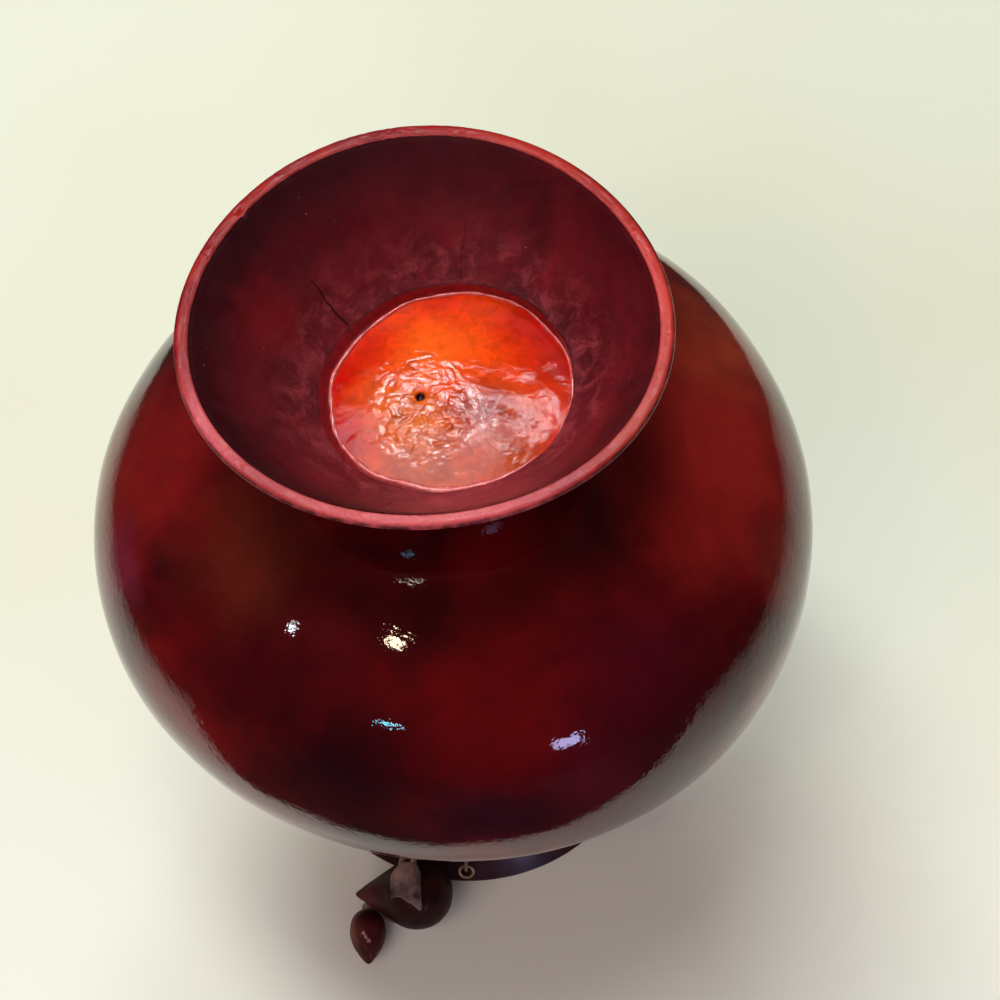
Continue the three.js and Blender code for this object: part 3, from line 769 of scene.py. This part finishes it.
def footRing():
    f = foot
    a = footColumns()[None, :]
    r, z, face = footProfile()
    depth = (z - bowlFloor) / f["bowlDepth"]
    # the hole's upper edge is cut further back on one side
    upper = np.where(face == holeFace, np.clip((r - f["holeRadius"]) / f["holeBevel"], 0, 1), 0.0)
    upper = np.where(face == bowlFace, np.maximum(0, 1 - depth) ** f["steepPower"], upper)
    steep = f["steep"] + f["steepSwing"] * np.cos(a - math.radians(f["steepAngle"]))
    points = footWarp(a, r - f["holeBevel"] * steep * upper, z + 0 * a)
    # the lowest rows follow the dome
    dome = domeAt(points[..., 0], points[..., 1]) + f["seat"]
    seated = z == seatHeight
    points[..., 2] = np.where(seated, dome, np.maximum(points[..., 2], dome))
    crackAndShadowLine, push = footCracks(a, r, depth, face)
    # a painted shadow line, broken in places, darkens the hole's upper edge where the bowl's floor begins
    paintedShadowLine = np.exp(-((z - bowlFloor) / f["paintedShadowLine"]) ** 2) * (face != outerFace)
    crackAndShadowLine = np.maximum(crackAndShadowLine, 0.5 * paintedShadowLine * ease(grain(points, 5.0, 12), -0.5, 0.1))
    uneven = f["uneven"] * grain(points, f["unevenSize"]) + f["rough"] * grain(points, f["roughSize"], 5)
    free = ((face == bowlFace) | (face == outerFace)) & ~seated
    points += straight(a, 1 + 0 * a, 0) * (uneven * free * ease(depth, 0.02, 0.2) + push)[..., None]
    # the lip is cut by hand: it dips a little, is chipped, and has one nick
    onLip = (face == lipFace) & (r < lipOut - 0.2) & (z > lipEnd - f["outerEdge"])
    chips = np.minimum(0, grain(points, f["chipSize"], 3) * f["chip"] - f["chipLess"])
    chips += np.minimum(0, grain(points, f["dipSize"], 9) * f["dip"])
    at, size, deep = f["nick"]
    nickPoint = footWarp(np.radians(at), np.array(lipIn + 0.6), np.array(rimHeight))
    gone = np.exp(-(np.linalg.norm(points - nickPoint, axis=-1) / size) ** 2) * deep
    points[..., 2] += onLip * (chips - gone)
    across = np.clip((r - lipIn) / (lipOut - lipIn), 0, 1) + 0 * a
    return gridObject("footRing", points, True, face[:, 0], dict(crackAndShadowLine=crackAndShadowLine, across=across))


dress(footRing(), "vase", "bare_gourd", "foot_ring", "bowl", "lip", "hole", "foot")
print("foot ring made")


# glue seams: a bead outside each joint, and the pale line that shows round the hole
seam = dict(radius=3.6, columns=180, sides=20, uneven=0.35, lumpSize=5.0, sunk=0.3,
            lineColumns=300, lineRadius=0.55, lineFront=0.75, lineUneven=0.45, lineLumps=4.0,
            lineIn=0.1, lineUp=0.25)


def beadRing(name, r, z, warp):
    a = around(seam["columns"])[None, :]
    s = around(seam["sides"])[:, None]
    points = warp(a, r + seam["radius"] * np.cos(s) + 0 * a, z + seam["radius"] * np.sin(s) + 0 * a)
    out = (points - warp(a, r + 0 * s + 0 * a, z + 0 * s + 0 * a)) / seam["radius"]
    lumps = seam["uneven"] * (grain(points, seam["lumpSize"], 2) - seam["sunk"])
    return gridObject(name, points + out * lumps[..., None])


def footSeam():
    r = foot["holeRadius"] + foot["rimWall"] + seam["radius"] / 2
    return beadRing("footSeam", r, float(crownAt(r)) + seam["radius"] / 3, footWarp)


def collarSeam():
    r = gourd["collarRadius"] + seam["radius"] / 2
    return beadRing("collarSeam", r, float(shoulderAt(r)) - seam["radius"] / 3, straight)


def glueLine():
    a = around(seam["lineColumns"])
    base = footWarp(a, foot["holeRadius"] - seam["lineIn"] + 0 * a, seatHeight + 0 * a)
    base[:, 2] = domeAt(base[:, 0], base[:, 1]) + seam["lineUp"]
    size = seam["lineRadius"] + seam["lineFront"] * np.maximum(0, -np.sin(a)) ** 2  # broader at the front
    size = size + seam["lineUneven"] * grain(base, seam["lineLumps"], 6)
    return gridObject("glueLine", sweep(base, size, 10, 0.8, (0, 0, 1), True))


dress(footSeam(), "vase", "filler", "foot_glue_seam", "filler")
dress(collarSeam(), "vase", "filler", "collar_glue_seam", "filler")
dress(glueLine(), "vase", "filler", None, "glueLine")
print("glue seams made")


# mouth collar: a trumpet that flares down to the rim that the vase stands on
collar = dict(mouthRadius=67.6, waistRadius=42.0, waistHeight=52.0, topRadius=gourd["collarRadius"],
              wall=gourd["collarWall"], flarePower=2.2, seat=0.3, columns=240, rows=90, rowPower=1.3,
              edge=1.0, uneven=0.25, unevenSize=26, sunk=0.5,
              waistEven=(3, 16), rimEven=(2, 12), topEven=(66, 76))
jointHeight = float(shoulderAt(collar["topRadius"]))


def collarRadius(z):
    waist, height = collar["waistRadius"], collar["waistHeight"]
    lower = waist + (collar["mouthRadius"] - waist) * np.maximum(0, 1 - z / height) ** collar["flarePower"]
    upper = waist + (collar["topRadius"] - waist) * ((z - height) / (jointHeight - height)) ** 2
    return np.where(z < height, lower, upper)


def mouthCollar():
    c = collar
    a = around(c["columns"])[None, :]
    heights = np.linspace(0, 1, c["rows"]) ** c["rowPower"]
    innerTop = float(shoulderAt(c["topRadius"] - c["wall"]))
    outZ = c["edge"] + (jointHeight - c["seat"] - c["edge"]) * heights
    inZ = c["edge"] + (innerTop - c["seat"] - c["edge"]) * heights[::-2]
    outR, inR = collarRadius(outZ), collarRadius(inZ) - c["wall"]
    wide, narrow = float(outR[0]), float(inR[-1])
    arc = np.linspace(0, math.pi / 2, 6)
    rim = [(narrow + c["edge"] * (1 - math.cos(k)), c["edge"] * (1 - math.sin(k))) for k in arc[1:]]
    rim += [(wide - c["edge"] * (1 - math.sin(k)), c["edge"] * (1 - math.cos(k))) for k in arc[:-1]]
    profile = np.array(list(zip(outR, outZ)) + list(zip(inR, inZ)) + rim)
    r, z = profile[:, :1], profile[:, 1:]
    points = straight(a, r + 0 * a, z)
    free = ease(np.abs(z - c["waistHeight"]), *c["waistEven"])  # evener at the waist, the rim and the top
    free = free * ease(z, *c["rimEven"]) * (1 - ease(z, *c["topEven"]))
    uneven = c["uneven"] * (grain(points, c["unevenSize"], 4) - c["sunk"]) * free
    points += straight(a, 1 + 0 * a, 0) * uneven[..., None]
    rowSlots = [0] * len(outZ) + [1] * (len(inZ) - 1) + [0] * (len(rim) + 1)
    return gridObject("mouthCollar", points, True, rowSlots)


dress(mouthCollar(), "vase", "collar_gourd", "mouth_collar", "collar", "inside")
print("mouth collar made")


# cord round the neck, its three ties, and the thongs that hang from them
neck = dict(cordRadius=1.8, cordFlat=0.94, cordDrawn=0.8, gap=0.3, thong=1.1, thongFlat=0.82, ball=1.7,
            tieRadius=4.2, tieWidth=11.6, ringTieWidth=7.0, wrapRadius=1.05, wrapFlat=0.72,
            seedTie=-121.0, nutTie=-107.0, ringTie=-93.4, spread=5.0,  # where they are tied, in degrees
            lift=0.8, knot=1.55, step=0.55)
cordRing = collar["waistRadius"] + neck["gap"] + neck["cordRadius"]
hangRadius = cordRing + neck["lift"]
hangHeight = collar["waistHeight"] - neck["tieRadius"] - neck["gap"] - neck["ball"]
lieOff = neck["thong"] + 2 * neck["gap"]


def hang(azimuth):
    return polar(azimuth, hangRadius, hangHeight)


def onCollar(azimuth, z, lift):
    # a place off the collar's outer face
    nudge = 0.01
    slope = float(collarRadius(np.array(z + nudge)) - collarRadius(np.array(z - nudge))) / (2 * nudge)
    length = math.hypot(1, slope)
    return polar(azimuth, float(collarRadius(np.array(z))) + lift / length, z - lift * slope / length)


def neckCord():
    a = around(240)
    tight = cordRing - neck["gap"] * neck["cordDrawn"]  # drawn up against the collar
    line = straight(a, tight + 0 * a, collar["waistHeight"])
    size = neck["cordRadius"] * (0.98 + 0.04 * grain(line, 3.0, 8))
    return gridObject("neckCord", sweep(line, size, 16, neck["cordFlat"], (0, 0, 1), True))


def tieWraps(name, azimuth, width, turns):
    # turns of thong wound round the cord, pressed against the collar behind and hanging down a little
    wrap, flat = neck["wrapRadius"], neck["wrapFlat"]
    s = np.linspace(0, 1, turns * 22)
    along = (s - 0.5) * (width - 2 * wrap)
    bend = 2 * math.pi * turns * s - 0.6
    reach = neck["cordRadius"] + wrap * 0.95
    sag = neck["tieRadius"] - wrap * flat
    radius = np.maximum(cordRing + reach * np.cos(bend), collar["waistRadius"] + neck["gap"] + wrap * 0.62)
    height = collar["waistHeight"] + np.where(np.sin(bend) < 0, sag, reach) * np.sin(bend)
    line = straight(np.radians(azimuth) + along / cordRing, radius, height)
    rings = sweep(line, wrap, 10, flat, unit(line[0] - polar(azimuth, cordRing, collar["waistHeight"])))
    return gridObject(name, capped(rings), False)


dress(neckCord(), "vase", "suede", "neck_cord", "suede")
dress(tieWraps("seedTie", neck["seedTie"], neck["tieWidth"], 5), "vase", "suede", "seed_tie", "suede")
dress(tieWraps("nutTie", neck["nutTie"], neck["tieWidth"], 5), "vase", "suede", "nut_tie", "suede")
dress(tieWraps("ringTie", neck["ringTie"], neck["ringTieWidth"], 3), "vase", "suede", "ring_tie", "suede")
print("neck cord and ties made")


def ballSize(radius, away):
    return np.sqrt(np.maximum(0, radius ** 2 - away ** 2))


def thongPiece(name, route, body, node, endKnot=0.0):
    # a suede thong with a small stopper knot under its tie, and one at its end if endKnot gives its radius
    line = evenLine(route, neck["step"])
    along = distanceAlong(line)
    size = neck["thong"] * (0.97 + 0.1 * grain(line, 2.4, 4))
    size = np.maximum(size, ballSize(neck["knot"], along))
    size = np.maximum(size, ballSize(endKnot, along[-1] - along))
    above = neck["knot"] * np.array([0.9, 0.75, 0.5, 0.25])  # upper half of the stopper knot
    drawn = np.vstack([line[0] + np.outer(above, (0, 0, 1)), line])
    size = np.concatenate([ballSize(neck["knot"], above), size])
    out = unit(np.array([route[0][0], route[0][1], 0.0]))
    piece = gridObject(name, capped(sweep(drawn, size, 14, neck["thongFlat"], out)), False)
    dress(piece, body, "suede", node, "suede")
    return piece, line


# drop-shaped seed, turned about its own axis from the root and laid along a heading
dropSeed = dict(
    length=20.5, radius=7.0, hollow=2.9, heading=-89.5, dip=9.0, ridges=4, ridge=0.05, ridgeTwist=2.5,
    squeeze=0.97, bend=0.3, dented=0.012, dentSize=2.5,
    topAzimuth=-117.4, topReach=21.6, knot=2.6, widest=0.4, surfaceGap=0.5,
    # share of the length and share of the radius, from the root to the tip
    outline=((0, 0), (0.03, 0.42), (0.17, 0.84), (0.4, 1), (0.62, 0.86), (0.82, 0.52), (0.95, 0.22), (1, 0)),
)
mouth = collar["mouthRadius"]
widestDrop = dropSeed["widest"] * dropSeed["length"] * math.sin(math.radians(dropSeed["dip"]))
seedTop = polar(dropSeed["topAzimuth"], mouth + dropSeed["topReach"],
                dropSeed["radius"] + dropSeed["surfaceGap"] + widestDrop)
lying = neck["thong"] + dropSeed["surfaceGap"]
seedRoute = [hang(neck["seedTie"]), onCollar(-119.5, 36, lieOff), onCollar(-117.5, 26, lieOff),
             onCollar(-115.5, 16, lieOff), onCollar(-114, 7, lieOff), polar(-113, mouth + 2.1, 2.2),
             polar(-110.4, mouth + 8.7, lying), polar(-109.6, mouth + 14.8, lying),
             polar(-111, mouth + 19.4, lying + 0.1), polar(-114.1, mouth + 19.6, 4),
             polar(-116.3, mouth + 19.6, 6.6), seedTop]


def seedProfile():
    d = dropSeed
    knots = np.array(d["outline"])
    last = len(knots) - 1
    rows = []
    for i in range(last):
        p0, p1, p2, p3 = (knots[min(max(k, 0), last)] for k in range(i - 1, i + 3))
        rows += [curve(p1, p2, (p2 - p0) / 2, (p3 - p1) / 2, t) for t in np.linspace(0, 1, 9, endpoint=False)]
    rows = np.array(rows + [knots[-1]])
    along, width = rows[:, 0] * d["length"], np.maximum(0, rows[:, 1]) * d["radius"]
    # the root is hollowed for the knot
    keep = np.hypot(along, width) > d["hollow"]
    steps = np.linspace(0, math.atan2(width[keep][0], along[keep][0]), 6)
    along = np.concatenate([d["hollow"] * np.cos(steps), along[keep]])
    return along[:, None], np.concatenate([d["hollow"] * np.sin(steps), width[keep]])[:, None]


def seedBody():
    d = dropSeed
    a = around(56)[None, :]
    along, width = seedProfile()
    share = along / d["length"]
    ridges = 0.5 + 0.5 * np.cos(d["ridges"] * a + d["ridgeTwist"] * share)
    ridges = ridges * np.sin(math.pi * np.clip(share, 0, 1))
    points = straight(a, width * (1 - d["ridge"] * ridges), along)
    points[..., 1] *= d["squeeze"]
    points[..., 0] += d["bend"] * np.sin(math.pi * share) * (1 - ease(share, 0.9, 1)) * 0.5
    points *= 1 - d["dented"] * np.abs(grain(points, d["dentSize"], 5))[..., None]
    return gridObject("dropSeed", points @ turnTo(leaning(d["heading"], -d["dip"])).T + seedTop, False)


seedPiece = dress(seedBody(), "seed", "seed", "drop_seed", "seed")
seedThong, seedLine = thongPiece("seedThong", seedRoute, "nut_strand", "seed_thong", dropSeed["knot"])
print("seed made, thong", round(lineLength(seedLine)), "mm")


# nut with a round end drawn out to a point, lying on the seed's thong
nut = dict(radius=13.3, point=23.4, side=-22.1, reach=11.5, heading=174.0, dip=9.0, ridges=5, ridge=0.014,
           ridgeTwist=0.05, blunt=0.08, dented=0.014, dentSize=5.0)
nutCentre = np.array([nut["side"], -math.sqrt(mouth ** 2 - nut["side"] ** 2) - nut["reach"] - neck["ball"],
                      lying + neck["thong"] + dropSeed["surfaceGap"] + nut["radius"]])
nutAxis = leaning(nut["heading"], -nut["dip"])
nutTaper = math.asin(nut["radius"] / nut["point"])


def pointedNut():
    n = nut
    roundPart = np.linspace(0, math.pi / 2 + nutTaper, 44)
    along, width = -n["radius"] * np.cos(roundPart), n["radius"] * np.sin(roundPart)
    t = np.linspace(0, 1, 30)[1:]
    taper = np.sqrt((1 - t) * (1 - t + 2 * n["blunt"]) / (1 + 2 * n["blunt"]))
    along = np.concatenate([along, along[-1] + (n["point"] - along[-1]) * t])[:, None]
    width = np.concatenate([width, width[-1] * taper])[:, None]
    a = around(72)[None, :]
    width = width * (1 - n["ridge"] * (0.5 - 0.5 * np.cos(n["ridges"] * a + n["ridgeTwist"] * along)))
    points = straight(a, width, along)
    points *= 1 - n["dented"] * np.abs(grain(points, n["dentSize"], 3))[..., None]
    return gridObject("pointedNut", points @ turnTo(nutAxis).T + nutCentre, False)


def nutTop(x, y):
    # height of the nut's upper face over its centre, found by halving
    low, high = 0 * x, 0 * x + nut["radius"] * 1.5
    for _ in range(40):
        z = (low + high) / 2
        place = np.stack([x, y, z], -1)
        along = place @ nutAxis
        away = np.sqrt(np.maximum(0, (place ** 2).sum(-1) - along ** 2))
        cone = np.maximum(0, nut["point"] - along) * math.tan(nutTaper)
        roundPart = along < nut["radius"] * math.sin(nutTaper)
        inside = away < np.where(roundPart, ballSize(nut["radius"], along), cone)
        low, high = np.where(inside, z, low), np.where(inside, high, z)
    return z


# folded suede tab over the nut, sizes from the nut's centre
tab = dict(thick=1.1, lift=0.35, back=7.2, left=-9.0, right=2.2, sideFront=-5.4, tipFront=-10.7, tipAt=0.92,
           fold=0.8, pleats=2.0, pinch=0.42, lean=0.9, buckle=0.3, buckleSize=3.2, columns=40, rows=52,
           cut=(0.0112, 0.0187))  # width and length when laid flat, in metres


def suedeTab():
    t = tab
    a, b = np.meshgrid(np.linspace(0, 1, t["columns"]), np.linspace(0, 1, t["rows"]), indexing="xy")
    # narrower towards the strands at the back, drawn down to a tip at the right of the front edge
    pinch = 1 - t["pinch"] * (1 - ease(b, 0.0, 0.4))
    middle = (t["left"] + t["right"]) / 2 + t["lean"] * (1 - ease(b, 0, 0.5))
    x = middle + (a - 0.5) * (t["right"] - t["left"]) * pinch
    drawn = a * 0.45 + 0.55 * ease(a, 0.3, t["tipAt"]) - 0.15 * ease(a, t["tipAt"], 1.0)
    frontEdge = t["sideFront"] + (t["tipFront"] - t["sideFront"]) * drawn + 0.2 * np.sin(a * 11)
    y = t["back"] + (frontEdge - t["back"]) * b
    crease = np.abs(((a + 0.16 * b) * t["pleats"] + 0.1) % 1 - 0.5) * 2
    lift = t["lift"] + t["fold"] * crease * ease(b, 0.08, 0.45)
    lift = lift + t["buckle"] * (1 + grain(np.stack([x, y, 0 * x], -1), t["buckleSize"], 2))

    def onNut(extra):
        k = 1 + (lift + extra) / nut["radius"]
        return (np.stack([x, y, nutTop(x / k, y / k) * k], -1) + nutCentre).reshape(-1, 3)
    count = a.size
    top = gridFaces(*a.shape, False, False)
    index = np.arange(count).reshape(a.shape)
    rim = np.concatenate([index[0], index[1:, -1], index[-1, -2::-1], index[-2:0:-1, 0]])
    after = np.roll(rim, -1)
    wall = np.stack([rim, after, after + count, rim + count], 1)
    points = np.concatenate([onNut(t["thick"]), onNut(0.0)])
    return meshObject("suedeTab", points, np.concatenate([top, top[:, ::-1] + count, wall]))


def strandRoute(side, x, y):
    # from the nut's tie over to a place on the nut, given from its centre
    tie = neck["nutTie"]
    reach = nut["radius"] + neck["gap"] + 0.8
    place = nutCentre + np.array([x, y, math.sqrt(reach ** 2 - x ** 2 - y ** 2)])
    return [hang(tie + side * neck["spread"] / 2), polar(tie - 1 + side * 2.3, 48, 37.5),
            polar(tie - 2.5 + side * 2.1, 54, 32), polar(tie - 3.5 + side * 2, 62, 29), place]


nutPiece = dress(pointedNut(), "nut_strand", "nut", "pointed_nut", "nut")
tabPiece = dress(suedeTab(), "nut_strand", "suede", "nut_thong", "tab")
for name, route in (("nutStrandLeft", strandRoute(-1, -5, 7)), ("nutStrandRight", strandRoute(1, -0.5, 7))):
    strand, strandLine = thongPiece(name, route, "nut_strand", "nut_thong")
    print(name, round(lineLength(strandLine)), "mm")


# brass ring through the loop at the end of its thong
ring = dict(radius=2.6, wire=0.55, eye=1.75, eyeWire=0.6, eyeFlat=0.9, lift=2.8, topHeight=6.1, endHeight=1.7)
ringTie = neck["ringTie"]
ringTop = onCollar(ringTie, ring["topHeight"], ring["lift"])
ringEnd = onCollar(ringTie, ring["endHeight"], ring["wire"] + 2 * neck["gap"])
slide = unit(ringEnd - ringTop)  # down along the collar
tangent = polar(ringTie + 90, 1, 0)
eyeOut = unit(np.cross(slide, tangent))
eyeCentre = ringTop - slide * neck["gap"]
ringRoute = [hang(ringTie), onCollar(ringTie, 36, lieOff), onCollar(ringTie, 26, lieOff),
             onCollar(ringTie, 17, lieOff + 0.4), eyeCentre - slide * ring["eye"]]


def hoop(name, radius, wire, centre, across, sides, flat):
    a = around(64)[:, None]
    line = centre + radius * (np.cos(a) * slide + np.sin(a) * across)
    return gridObject(name, sweep(line, wire, sides, flat, np.cross(slide, across), True))


ringCentre = ringTop + slide * ring["radius"]
brassHoop = hoop("brassRing", ring["radius"], ring["wire"], ringCentre, tangent, 14, 1.0)
brassRing = dress(brassHoop, "ring", "brass", "brass_ring", "brass")
ringThong, ringLine = thongPiece("ringThong", ringRoute, "ring_strand", "ring_thong")
suedeHoop = hoop("ringLoop", ring["eye"], ring["eyeWire"], eyeCentre, eyeOut, 12, ring["eyeFlat"])
ringLoop = dress(suedeHoop, "ring_strand", "suede", "ring_thong", "suede")
print("brass ring made, thong", round(lineLength(ringLine)), "mm")


# surface that it stands on, in metres: a pale board, whiter in front where a pool of light is painted, which
# the gloss shows as ending in a dim room
ground = dict(
    pale=srgb(241, 242, 228), warm=srgb(239, 236, 216), near=srgb(253, 252, 247), room=srgb(62, 54, 52),
    size=6, low=-0.0004, paintedLightFront=(0.2, -0.3), left=(-0.60, -0.34), right=(0.85, 0.28), back=(0.44, 0.38),
    front=(-0.155, -0.125), dimMiddle=-0.2, slant=0.27,
)


def makeGround():
    g = ground
    half = g["size"] / 2
    corners = [(x * half, y * half, g["low"]) for x, y in ((-1, -1), (1, -1), (1, 1), (-1, 1))]
    mesh = bpy.data.meshes.new("ground")
    mesh.from_pydata(corners, [], [(0, 1, 2, 3)])
    piece = bpy.data.objects.new("ground", mesh)
    scene.collection.objects.link(piece)
    f = Finish("ground", roughness=0.7, specular=0.1)
    x, y = f.part("X"), f.part("Y")
    pale = f.ramp(f.noise(240, 2), (0.35, g["pale"]), (0.7, g["warm"]))
    # painted light: the board turns whiter towards the front
    pale = f.mix(f.span(y, *g["paintedLightFront"]), pale, g["near"])
    aside = f.math("ABSOLUTE", f.math("SUBTRACT", x, g["dimMiddle"]))
    board = f.span(f.math("ADD", y, f.times(aside, g["slant"])), *g["front"])
    for value, edge in ((x, g["left"]), (x, g["right"]), (y, g["back"])):
        board = f.times(board, f.span(value, *edge))
    mirrored = f.nodes.new("ShaderNodeLightPath").outputs["Is Glossy Ray"]
    f.put(colour=f.mix(f.times(f.math("SUBTRACT", 1.0, board), mirrored), pale, g["room"]))
    mesh.materials.append(f.material)


# lamps, in metres: what each points at, where it comes from as azimuth and elevation, distance, size, roll,
# power, colour, spread, and whether it lights the colours, shows in the gloss, or both
lamps = dict(
    softbox=((0, 0, 0.1), 140, 76.4, 3.0, (0.66, 2.05), 0, 42.6, (0.93, 1.0, 0.93), 180, "lights"),
    backLight=((0, 0, 0.1), 98, 46.6, 3.0, (1.58, 0.55), 0, 38.7, (0.93, 1.0, 0.93), 180, "lights"),
    fill=((0, 0, 0.1), -120, 40, 2.5, (1.9, 1.9), 0, 23.0, (1.0, 0.8, 0.77), 180, "lights"),
    beam=((-0.002, -0.008, 0.25), 97, 62, 1.2, (0.1, 0.1), 0, 0.012, (1.0, 0.97, 0.93), 7.5, "lights"),
    window=((0, 0, 0.235), 114, 71, 1.3, (0.8, 0.66), -16, 4.6, (0.9, 0.86, 1.0), 180, "shows"),
    strip=((0, 0, 0.235), 63.5, 59, 1.3, (0.33, 0.075), 53, 1.6, (0.97, 0.96, 1.0), 180, "shows"),
    glint=((0, 0, 0.235), 96.5, 60.5, 1.3, (0.2, 0.09), 0, 2.1, (1.0, 1.0, 1.0), 180, "shows"),
    warmLamp=((-0.017, -0.078, 0.214), -119, 57, 1.3, (0.085, 0.055), 0, 0.7, (1.0, 0.8, 0.54), 180, "both"),
    coolLamp=((-0.049, -0.071, 0.210), -152, 42, 1.4, (0.04, 0.04), 0, 0.3, (0.86, 0.94, 1.0), 180, "both"),
    blueLamp=((-0.024, -0.098, 0.198), -112.5, 23, 1.4, (0.16, 0.045), 0, 0.75, (0.2, 0.72, 1.0), 180, "both"),
    paleBlueLamp=((0.033, -0.103, 0.191), -66, 9, 1.4, (0.2, 0.15), 0, 1.5, (0.56, 0.54, 1.0), 180, "both"),
    lowLamp=((-0.013, -0.063, 0.221), -133, 75, 1.4, (0.1, 0.03), 0, 0.1, (1.0, 0.9, 0.75), 180, "both"),
)


def makeLamps():
    for name, (target, azimuth, elevation, distance, size, roll, power, colour, spread, use) in lamps.items():
        data = bpy.data.lights.new(name, "AREA")
        data.shape, data.size, data.size_y = "RECTANGLE", size[0], size[1]
        data.energy, data.color, data.spread = power, colour, math.radians(spread)
        lamp = bpy.data.objects.new(name, data)
        out = Vector(leaning(azimuth, elevation))
        facing = out.to_track_quat("Z", "Y").to_matrix() @ Matrix.Rotation(math.radians(roll), 3, "Z")
        lamp.location = Vector(target) + out * distance
        lamp.rotation_euler = facing.to_euler()
        lamp.visible_camera = False
        lamp.visible_glossy = use != "lights"
        lamp.visible_diffuse = use != "shows"
        scene.collection.objects.link(lamp)


# colour of the sky as the camera sees it, as the gloss mirrors it, and as it lights everything else
sky = dict(seen=(0.88, 0.887, 0.9), mirrored=(0.022, 0.022, 0.022), ambient=(0.08, 0.067, 0.063))


def makeSky():
    world = bpy.data.worlds.new("sky")
    scene.world = world
    world.use_nodes = True
    nodes, links = world.node_tree.nodes, world.node_tree.links
    path = nodes.new("ShaderNodeLightPath")
    below = None
    for key, colour in (("Is Glossy Ray", sky["mirrored"]), ("Is Camera Ray", sky["seen"])):
        node = nodes.new("ShaderNodeMix")
        node.data_type = "RGBA"
        links.new(path.outputs[key], node.inputs[0])
        if below:
            links.new(below, node.inputs[6])
        else:
            node.inputs[6].default_value = (*sky["ambient"], 1)
        node.inputs[7].default_value = (*colour, 1)
        below = node.outputs[2]
    links.new(below, nodes["Background"].inputs["Color"])


makeGround()
makeLamps()
makeSky()
print("ground, lamps and sky set")
